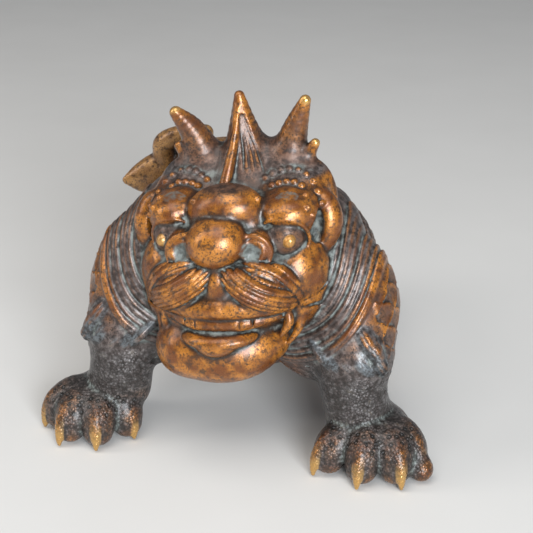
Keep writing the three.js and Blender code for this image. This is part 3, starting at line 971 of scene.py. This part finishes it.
def bronze(name, light=AMBER_LIGHT, deep=AMBER_DEEP, marked=True):
    """Bronze worn to amber where hands reach, umber and ash elsewhere, verdigris and painted shade in
    hollows.
    """
    g = Graph(name)
    clouds = g.noise(7.0, 4.0)
    patches = g.noise(2.6, 5.0, 0.62)
    grain = g.noise(0.75, 3.0, 0.7)
    pits = g.noise(0.42, 2.0, 0.6)
    marks = {key: g.mark(key) if marked else even for key, even in UNMARKED.items()}
    dips = g.plus(g.times(g.minus(marks["hollow_fine"], 0.5), 2.4),
                  g.times(g.minus(marks["hollow_broad"], 0.5), 1.9))
    mottle = g.minus(patches, 0.5)

    colour, rubbed_unshaded = bare_metal(g, dips, mottle, patches, clouds, marks, light, deep)
    # dark specks, painted shade, verdigris crust and painted deep shade over the bare metal
    colour, crusted, painted_deep_shade = dirt_and_shade(g, colour, dips, mottle, patches, clouds, grain, marks)
    colour, pebble_height, ring_height = punching(g, colour, marks)
    gilded = g.ramp(g.plus(marks["gild"], g.times(mottle, 0.8)), 0.02, 0.98)
    g.links.new(g.mix(gilded, colour, BRASS), g.shader.inputs["Base Color"])

    rough = g.plus(g.ramp(rubbed_unshaded, 0.0, 1.0, 0.42, 0.29), g.times(g.minus(grain, 0.5), 0.35))
    rough = g.plus(rough, g.times(crusted, 0.22))
    g.links.new(g.minus(rough, g.times(gilded, 0.12), True), g.shader.inputs["Roughness"])
    # less metallic under the crust and the painted deep shade
    metal = g.ramp(g.minus(1.0, g.larger(crusted, painted_deep_shade)), 0.0, 1.0, 0.10, 0.34)
    g.links.new(g.larger(metal, g.times(gilded, 0.8)), g.shader.inputs["Metallic"])
    g.shader.inputs["Coat Weight"].default_value = 0.32
    g.shader.inputs["Coat Roughness"].default_value = 0.20
    g.shader.inputs["Coat IOR"].default_value = 1.45

    relief = g.bump(g.plus(patches, g.times(pits, 0.5)), 0.22, 0.7)
    relief = g.bump(pebble_height, 0.40, 0.9, relief)
    relief = g.bump(ring_height, 0.5, 0.8, relief)
    g.links.new(relief, g.shader.inputs["Normal"])
    return g.material


# ---------------------------------------------------------------- casting the pieces

FORE_END = 74.0  # the fore part dips under the hind part here
DIP_DEPTH = 1.6  # and this far under
FINE_REACH = 1.3  # hollows are felt for over these distances: grooves and creases
BROAD_REACH = 3.6  # and the valleys between the larger forms
BARE_POLISH = 0.24  # how far metal that nothing rubs is worn bright
TAIL_POLISH = 0.62  # the tail is worn and greyed evenly
TAIL_ASH = 0.1

# Where the castings part, in millimetres.
JAW_TOP, JAW_BACK = 65.0, 30.0
HORN_FOOT = 117.0
LEG_INNER, LEG_TOP, LEG_BACK = 28.0, 46.0, 46.0
PAW_INNER, PAW_TOP = 20.0, 22.0
HIND_INNER, HIND_LEG_TOP, HIND_LEG_BACK = 20.0, 26.0, 140.0
HIND_PAW_TOP = 20.0


def covered_by(shapes, points, core, edge):
    """1 where a point lies less than core from the nearest of some shapes, 0 from edge on."""
    return 1 - smooth_ramp(core, edge, near(shapes, points))


def marks_for(clay, points, headed):
    """Finish marks at each point: how hollow, polished, grey, gilded, stippled and green it is.

    headed is 1 on the head's own surface and 0 on the body's. Each region is a product of ramps.
    """
    x, y, z = points.T
    side = np.abs(x)
    level = z - FACE_LEAN * x
    out, _ = mane_frame(x, z)
    body = 1 - headed

    face = headed * (1 - smooth_ramp(24, 36, y)) * (1 - smooth_ramp(109, 114.5, level))
    rim = body * smooth_ramp(MANE_RIM - 4.5, MANE_RIM - 2, out) * (1 - smooth_ramp(MANE_RIM, 42, out))
    rim = rim * smooth_ramp(50, 68, z)
    mane = body * (1 - smooth_ramp(44, 50, y)) * smooth_ramp(36, 46, z)
    shoulder = body * smooth_ramp(37, 41, out) * smooth_ramp(46, 58, z) * (1 - smooth_ramp(50, 62, y))
    leg = body * (1 - smooth_ramp(36, 46, z)) * smooth_ramp(24, 32, side) * (1 - smooth_ramp(50, 60, y))
    paw = (1 - smooth_ramp(20, 26, z)) * smooth_ramp(14, 20, side)
    horns = [CROWN_HORN, LEFT_HORN, RIGHT_HORN, LEFT_SPUR, RIGHT_SPUR]
    horn = headed * covered_by(horns, points, 1.0, 5.0) * smooth_ramp(108, 116, z)
    crown = headed * smooth_ramp(107, 114, level) * smooth_ramp(12, 22, y) * (1 - horn)
    ridge = headed * covered_by([HORN_RIDGE], points, -0.4, 0.9)
    eyes = covered_by(EYES, points, 0.0, 0.7)
    sockets = headed * covered_by(EYES, points, 1.5, 5.0) * (1 - eyes)
    sockets = sockets * smooth_ramp(0.3, 1.2, near([*BROWS, *BROW_ENDS, BOSS, NOSE, *WINGS], points))
    patches = headed * covered_by(BROW_PATCHES, points, -0.6, 0.5)
    wings = headed * covered_by(WING_HOLLOWS, points, 0.1, 0.9)
    hair = body * covered_by(TUFTS + CUFFS, points, 0.3, 1.2)
    claw = covered_by(CLAWS, points, 0.15, 0.7)
    tips = covered_by(HORN_TIPS, points, -1.0, 1.2)
    pupils = covered_by(PUPILS, points, 0.0, 0.35)

    bright = 0.60 * face + 0.06 * mane + 0.34 * rim + 0.10 * horn + 0.50 * ridge + 0.09 * paw
    bright = bright + 0.17 * shoulder * (1 - rim)
    dull = 0.18 * leg * (1 - paw) + 0.46 * eyes * headed + 0.30 * sockets + 0.08 * crown + 0.16 * hair
    grey = 0.12 + 0.55 * leg * (1 - 0.4 * paw) + 0.14 * paw + 0.42 * crown + 0.2 * eyes + 0.5 * hair
    grey = grey + 0.40 * mane * (1 - rim) * (1 - 0.7 * shoulder)
    green = 0.48 * patches + 0.30 * sockets + 0.44 * wings + 0.24 * crown + 0.18 * mane * (1 - rim)
    gilding = [0.80 * claw * (1 - smooth_ramp(1, 17, z)), 0.8 * tips, 0.50 * pupils]
    return {
        "hollow_fine": hollowness(clay, points, FINE_REACH),
        "hollow_broad": hollowness(clay, points, BROAD_REACH),
        "polish": BARE_POLISH + bright - dull,
        "ash": np.clip(grey, 0, 1),
        "gild": np.clip(np.max(gilding, axis=0), 0, 1),
        "stipple": np.clip(leg + paw - claw, 0, 1),
        "stamps": stamp_reach(points) + 4 * claw,
        "green": green + 0.10 * leg + 0.08 * paw,
    }


def cast_fore():
    """Head, horns, eyes, ears, chest, forelegs and forepaws."""
    low, high = (-85, -19, -1.2), (85, FORE_END + 3, 147.5)
    clay = Clay(low, high, HEAD_STEP)
    body_clay(clay)
    head = Clay(low, high, HEAD_STEP)
    head_clay(head)
    body_depth = clay.depth
    y = clay.axes[1][None, :, None]
    dip = DIP_DEPTH * smooth_ramp(FORE_END - 2, FORE_END + 2, y)
    clay.depth = soft_min(body_depth, head.depth, 1.2) + dip.astype(np.float32)
    level_floor(clay)
    points, normals, quads = skin(clay)
    headed = (clay.read(points, head.depth) < clay.read(points, body_depth)).astype(float)
    marks = marks_for(clay, points, headed)

    middle = points[quads].mean(axis=1)
    x, y, z = middle.T
    on_head = headed[quads].mean(axis=1) > 0.5
    level = z - FACE_LEAN * x
    kind = np.where(on_head, "head", "chest").astype("<U16")
    kind[on_head & (level < JAW_TOP) & (y < JAW_BACK)] = "jaw"
    for label, shapes in (("crown_horn", [CROWN_HORN]), ("left_horn", [LEFT_HORN, LEFT_SPUR]),
                          ("right_horn", [RIGHT_HORN, RIGHT_SPUR])):
        kind[on_head & (z > HORN_FOOT) & (near(shapes, middle) < 1.6)] = label
    for label, shape, seam in (("right_ear", EARS[1], 0.5), ("left_ear", EARS[0], 0.5),
                               ("right_eye", EYES[1], 0.25), ("left_eye", EYES[0], 0.25)):
        kind[(kind == "head") & (near([shape], middle) < seam)] = label
    chest = kind == "chest"
    leg = chest & (np.abs(x) > LEG_INNER) & (z < LEG_TOP) & (y < LEG_BACK)
    paw = chest & (np.abs(x) > PAW_INNER) & (z < PAW_TOP)
    for word, side in (("left", 1), ("right", -1)):
        kind[leg & (x * side > 0)] = word + "_foreleg"
        kind[paw & (x * side > 0)] = word + "_forepaw"
    kind[(kind == "chest") & (x < 0)] = "chest_right"
    kind[kind == "chest"] = "chest_left"

    surface = (points, normals, quads, marks)
    keep = y < FORE_END + 1.5
    for label, slot in (
        ("head", "amber_bronze"), ("jaw", "amber_bronze"),
        ("crown_horn", "umber_bronze"), ("left_horn", "umber_bronze"), ("right_horn", "umber_bronze"),
        ("left_ear", "amber_bronze"), ("right_ear", "amber_bronze"),
        ("left_eye", "amber_bronze"), ("right_eye", "amber_bronze"),
        ("chest_left", "umber_bronze"), ("chest_right", "umber_bronze"),
        ("left_foreleg", "umber_bronze"), ("right_foreleg", "umber_bronze"),
        ("left_forepaw", "grey_bronze"), ("right_forepaw", "grey_bronze"),
    ):
        cast_piece(label, surface, keep & (kind == label), slot)


def cast_hind():
    """Barrel, rump, hind legs and hind paws."""
    clay = Clay((-52, FORE_END - 5, -1.2), (52, 170, 95), BODY_STEP)
    body_clay(clay)
    level_floor(clay)
    points, normals, quads = skin(clay)
    marks = marks_for(clay, points, np.zeros(len(points)))
    middle = points[quads].mean(axis=1)
    x, y, z = middle.T
    keep = y > FORE_END - 2
    leg = (np.abs(x) > HIND_INNER) & (z < HIND_LEG_TOP) & (y < HIND_LEG_BACK)
    kind = np.where(leg, "hind_leg", "back")
    kind[leg & (z < HIND_PAW_TOP)] = "hind_paw"
    surface = (points, normals, quads, marks)
    cast_piece("back", surface, keep & (kind == "back"), "umber_bronze")
    for side, word in ((1, "left_"), (-1, "right_")):
        here = keep & (x * side > 0)
        cast_piece(word + "hind_leg", surface, here & (kind == "hind_leg"), "umber_bronze")
        cast_piece(word + "hind_paw", surface, here & (kind == "hind_paw"), "grey_bronze")


def cast_tail():
    """The tail's stem, its curl with a bud, and its leaf."""
    clay = Clay((-82, 98, 38), (16, 170, 108), BODY_STEP)
    tail_clay(clay)
    points, normals, quads = skin(clay)
    marks = marks_for(clay, points, np.zeros(len(points)))
    marks["polish"] = np.full(len(points), TAIL_POLISH)
    marks["ash"] = np.full(len(points), TAIL_ASH)
    middle = points[quads].mean(axis=1)
    curl = near([TAIL_CURL, TAIL_BUD], middle)
    leaf = near([TAIL_LEAF], middle)
    stem = near([TAIL_STEM], middle)
    kind = np.argmin([curl, leaf, stem], axis=0)
    surface = (points, normals, quads, marks)
    for number, label in enumerate(("tail_curl", "tail_leaf", "tail_stem")):
        cast_piece(label, surface, kind == number, "golden_bronze")


FINISHES = {slot: bronze(slot) for slot in ("amber_bronze", "umber_bronze", "grey_bronze")}
FINISHES["golden_bronze"] = bronze("golden_bronze", light=(0.50, 0.26, 0.085), deep=(0.26, 0.125, 0.045))
PIN_FINISH = bronze("bare_brass", light=(0.78, 0.55, 0.24), deep=(0.52, 0.33, 0.12), marked=False)

cast_fore()
cast_hind()
cast_tail()
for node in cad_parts.values():
    if node.name.endswith("_pin"):
        for holder in node.material_slots:
            holder.material = PIN_FINISH


# ---------------------------------------------------------------- studio

def studio_floor():
    """A wide, plain, pale floor."""
    graph = Graph("studio_floor")
    shade = graph.mix(graph.noise(60.0, 2.0), (0.66, 0.65, 0.63), (0.70, 0.69, 0.67))
    graph.links.new(shade, graph.shader.inputs["Base Color"])
    graph.shader.inputs["Roughness"].default_value = 0.75
    mesh = bpy.data.meshes.new("floor")
    half = 6.0
    corners = [(-half, -half, 0), (half, -half, 0), (half, half, 0), (-half, half, 0)]
    mesh.from_pydata(corners, [], [(0, 1, 2, 3)])
    mesh.materials.append(graph.material)
    floor = bpy.data.objects.new("floor", mesh)
    bpy.context.collection.objects.link(floor)


def soft_light(name, azimuth, elevation, distance, width, height, power, colour):
    """A rectangular lamp aimed at the beast's face. Azimuth 0 is straight in front, 90 on its left."""
    target = np.array([0.0, -0.03, 0.06])
    around, above = np.radians(azimuth), np.radians(elevation)
    away = np.array([np.sin(around) * np.cos(above), -np.cos(around) * np.cos(above), np.sin(above)])
    lamp = bpy.data.lights.new(name, "AREA")
    lamp.shape = "RECTANGLE"
    lamp.size, lamp.size_y = width, height
    lamp.energy = power
    lamp.color = colour
    holder = bpy.data.objects.new(name, lamp)
    holder.location = target + distance * away
    holder.rotation_mode = "QUATERNION"
    holder.rotation_quaternion = Vector(tuple(away)).to_track_quat("Z", "Y")
    bpy.context.collection.objects.link(holder)


studio_floor()
soft_light("window", 30, 16, 1.5, 0.62, 0.80, 33.0, (0.90, 0.95, 1.0))
soft_light("overhead", -10, 68, 1.2, 0.9, 0.9, 8.0, (1.0, 0.98, 0.95))
soft_light("edge", -68, 28, 1.2, 0.35, 0.9, 4.0, (1.0, 0.97, 0.93))

world = bpy.data.worlds.new("room")
world.use_nodes = True
world.node_tree.nodes["Background"].inputs["Color"].default_value = (0.80, 0.83, 0.88, 1.0)
world.node_tree.nodes["Background"].inputs["Strength"].default_value = 0.25
bpy.context.scene.world = world
bpy.context.scene.view_settings.view_transform = "Standard"

CAMERA_PLACE = Vector((0.1184, -0.4829, 0.2734))
CAMERA_AIM = Vector((-0.221, 0.886, -0.407))
lens = bpy.data.cameras.new("camera")
lens.lens = 85.0
lens.sensor_width = 36.0
camera = bpy.data.objects.new("camera", lens)
camera.location = CAMERA_PLACE
camera.rotation_euler = CAMERA_AIM.to_track_quat("-Z", "Y").to_euler()
bpy.context.collection.objects.link(camera)
bpy.context.scene.camera = camera
